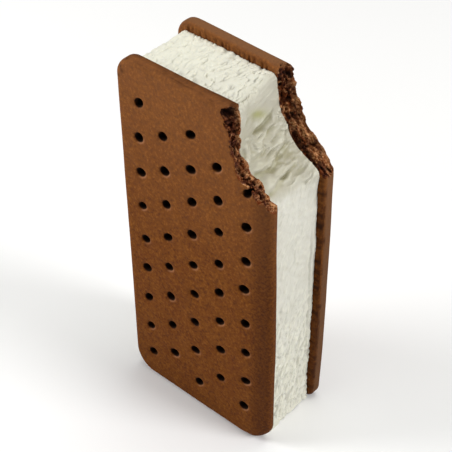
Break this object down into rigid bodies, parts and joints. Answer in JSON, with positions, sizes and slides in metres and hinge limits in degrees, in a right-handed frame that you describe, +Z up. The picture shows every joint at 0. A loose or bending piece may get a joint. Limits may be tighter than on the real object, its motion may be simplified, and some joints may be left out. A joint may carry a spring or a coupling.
{
  "type": "bitten ice cream sandwich",
  "caption": "Rectangular ice cream sandwich standing on its short end: vanilla ice cream between two dark chocolate wafers with rows of docker holes and a bite out of one top corner.",
  "frame": {"origin": "centre of the bottom end, on the surface the sandwich stands on", "axes": "+Z up along the length, X across the wafers' width with the bite at +X, Y through the sandwich with the front wafer at -Y and the back wafer at +Y"},
  "size_m": [0.0544, 0.0286, 0.12],
  "materials": {
    "chocolate_wafer": "matte soft baked wafer, darker and crumbly where it is bitten",
    "vanilla_ice_cream": "pale cream, slightly moist, smooth and a little glossy in the bite"
  },
  "bodies": {
    "root": {"front_wafer": "chocolate_wafer", "back_wafer": "chocolate_wafer", "ice_cream": "vanilla_ice_cream"}
  },
  "joints": []
}
